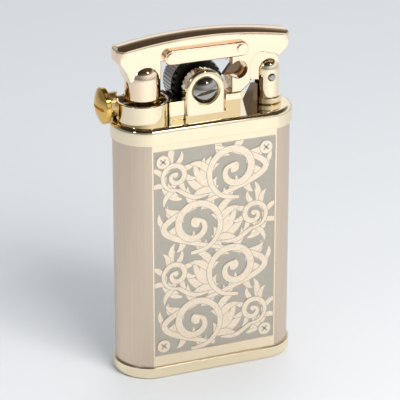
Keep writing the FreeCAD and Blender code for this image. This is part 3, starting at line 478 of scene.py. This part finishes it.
# Loose leaves round each bend. A root is measured from the panel's middle line and the bend's level, and a
# turn is away from straight up. Fronds are (rise of the root, turn, length), low leaves are (length, bend).
FRONDS = ((-3.6, 72, 7.0), (-2.6, 54, 6.2), (-1.6, 34, 5.0), (-0.4, 12, 3.8))
FROND_ROOT = 1.6
FROND_LEAN = 0.2
FROND_BEND = 50
FROND_WIDTH = 0.7
LOW_LEAVES = ((3.84, 102.8), (4.38, 77.6), (4.92, 52.4))
LOW_ROOT = (6.4, -4.2)
LOW_TURN = 80
LOW_WIDTH = 0.55
HIGH_RISES = (2.0, 3.4)
HIGH_ROOT = 8.3
HIGH_LENGTH = 3.4
HIGH_TURN = 20
HIGH_BEND = 60
HIGH_WIDTH = 0.5
EDGE_RISES = (-3.8, -2.4, -1.0, 0.4, 1.8)
EDGE_LENGTH = 3.0
EDGE_TURN = 48
EDGE_BEND = 60
EDGE_WIDTH = 0.45

# The stem from the vine to a gap's volute: its root as above, how far it dips, and its half widths.
SHOOT_ROOT = (1.2, -4.032)
SHOOT_DIP = 0.1
SHOOT_WIDTHS = (0.12, 0.40, 0.34)


def leaf(base, heading, length, bend, width):
    """Tapering leaf that sets off along its heading and turns by its bend: (x, z, half width) points."""
    x, z = base
    points = [(x, z, width * LEAF_SHARES[0])]
    steps = len(LEAF_SHARES) - 1
    for k in range(steps):
        angle = math.radians(heading + bend * (k + 0.5) / steps)
        x += math.cos(angle) * length / steps
        z += math.sin(angle) * length / steps
        points.append((x, z, width * LEAF_SHARES[k + 1]))
    return points


def on_volute(centre, radius, spin, t):
    """Point on a volute's stem and the direction the stem runs there; t goes from its root to its bud."""
    angle = math.radians(-90 - spin * ROOT_ANGLE) + spin * VOLUTE_TURNS * math.tau * t
    reach = radius * ((1 - t) ** VOLUTE_POWER + BUD_REACH)
    place = (centre[0] + reach * math.cos(angle), centre[1] + reach * math.sin(angle))
    return place, math.degrees(angle) + spin * 90


def volute(centre, radius, spin):
    """Stem that winds in to a round bud, thickest half way."""
    points = []
    for k in range(VOLUTE_POINTS):
        t = k / VOLUTE_POINTS
        place, _ = on_volute(centre, radius, spin, t)
        width = VOLUTE_WIDTHS[0] + VOLUTE_WIDTHS[1] * math.sin(math.pi * t)
        points.append((*place, width * math.sqrt(radius)))
    place, _ = on_volute(centre, radius, spin, 1)
    return points + [(*place, BUD_WIDTH * radius)]


def volute_fringe(centre, radius, spin):
    """Pairs of leaves along a volute from its bud outwards: short inside its stem, long outside."""
    leaves = []
    size = math.sqrt(radius / FRINGE_RADIUS)
    for t in FRINGE_PLACES:
        place, run = on_volute(centre, radius, spin, t)
        for turn, longest, loss, bend, width in (FRINGE_INNER, FRINGE_OUTER):
            length = (longest - loss * t) * size
            leaves.append(leaf(place, run + spin * turn, length, spin * bend, width * size))
    return leaves


def vine_reach(rise):
    """How far the vine stands from the middle line at a rise above a bend's level."""
    return VINE_REACH * math.cos(math.pi * rise / BEND_STEP)


def vine():
    points = []
    for k in range(VINE_STEPS * BENDS + 1):
        rise = BEND_STEP * (k / VINE_STEPS - 0.5)
        reach = vine_reach(rise)
        width = VINE_WIDTHS[0] + VINE_WIDTHS[1] * abs(reach) / VINE_REACH
        points.append((-reach, BEND_LOW + rise, width))
    return points


def loose_leaves(spin, level):
    """Leaves of one bend: fronds in its gap, leaves below and above the gap's volute, and an outer edging."""
    leaves = []
    for rise, turn, length in FRONDS:
        root = (spin * (FROND_ROOT + FROND_LEAN * rise), level + rise)
        leaves.append(leaf(root, 90 - spin * turn, length, spin * FROND_BEND, FROND_WIDTH))
    low_root = (spin * LOW_ROOT[0], level + LOW_ROOT[1])
    for length, bend in LOW_LEAVES:
        leaves.append(leaf(low_root, 90 - spin * LOW_TURN, length, spin * bend, LOW_WIDTH))
    for rise in HIGH_RISES:
        root = (spin * HIGH_ROOT, level + rise)
        leaves.append(leaf(root, 90 - spin * HIGH_TURN, HIGH_LENGTH, spin * HIGH_BEND, HIGH_WIDTH))
    for rise in EDGE_RISES:
        root = (-spin * vine_reach(rise), level + rise)
        leaves.append(leaf(root, 90 + spin * EDGE_TURN, EDGE_LENGTH, -spin * EDGE_BEND, EDGE_WIDTH))
    return leaves


def shoot(gap, spin, level):
    """Short stem from the vine's crossing to the root of the gap's volute."""
    start = (spin * SHOOT_ROOT[0], level + SHOOT_ROOT[1])
    end, _ = on_volute(gap, GAP_RADIUS, spin, 0)
    middle = ((start[0] + end[0]) / 2, min(start[1], end[1]) - SHOOT_DIP)
    return [(*place, width) for place, width in zip((start, middle, end), SHOOT_WIDTHS)]


def rinceau():
    """Every stroke of the ornament, in drawing order."""
    leaves = []
    stems = [vine()]
    bends = [(-1 if k % 2 else 1, BEND_LOW + BEND_STEP * k) for k in range(BENDS)]
    for spin, level in bends:
        gap = (spin * GAP_OFF, level + GAP_RISE)
        leaves += loose_leaves(spin, level)
        leaves += volute_fringe(gap, GAP_RADIUS, spin)
        stems.append(shoot(gap, spin, level))
        stems.append(volute(gap, GAP_RADIUS, spin))
    for spin, level in bends:
        bend = (-spin * VOLUTE_OFF, level)
        leaves += volute_fringe(bend, VOLUTE_RADIUS, spin)
        stems.append(volute(bend, VOLUTE_RADIUS, spin))
    return leaves + stems


def make_panel(materials):
    field = bmesh.new()
    leaves = bmesh.new()
    add_rectangle(field, -PANEL_HALF, PANEL_HALF, PANEL_LOW, PANEL_HIGH, FIELD_FRONT, FIELD_BACK)
    level = STROKE_BASE
    for points in rinceau():
        level += STROKE_RISE
        add_stroke(field, points, GROOVE, level, 0.0)
        add_stroke(leaves, points, 0.0, level + STROKE_RISE / 2, CROWN)
    for centre in CORNER_DISCS:
        add_slab(field, disc_outline(centre, DISC_RADIUS + GROOVE), level + STROKE_RISE, FIELD_BACK)
        add_slab(leaves, disc_outline(centre, DISC_RADIUS), level + 2 * STROKE_RISE, FIELD_BACK)
        for bar in cross_outlines(centre):
            add_slab(field, bar, level + 3 * STROKE_RISE, FIELD_BACK)
    finish_mesh("panel_field", field, materials["panel_field"])
    finish_mesh("panel_acanthus", leaves, materials["panel_leaf"])


make_camera()
make_studio()
materials = make_materials()
dress_cad_nodes(materials)
make_frame(materials)
make_panel(materials)
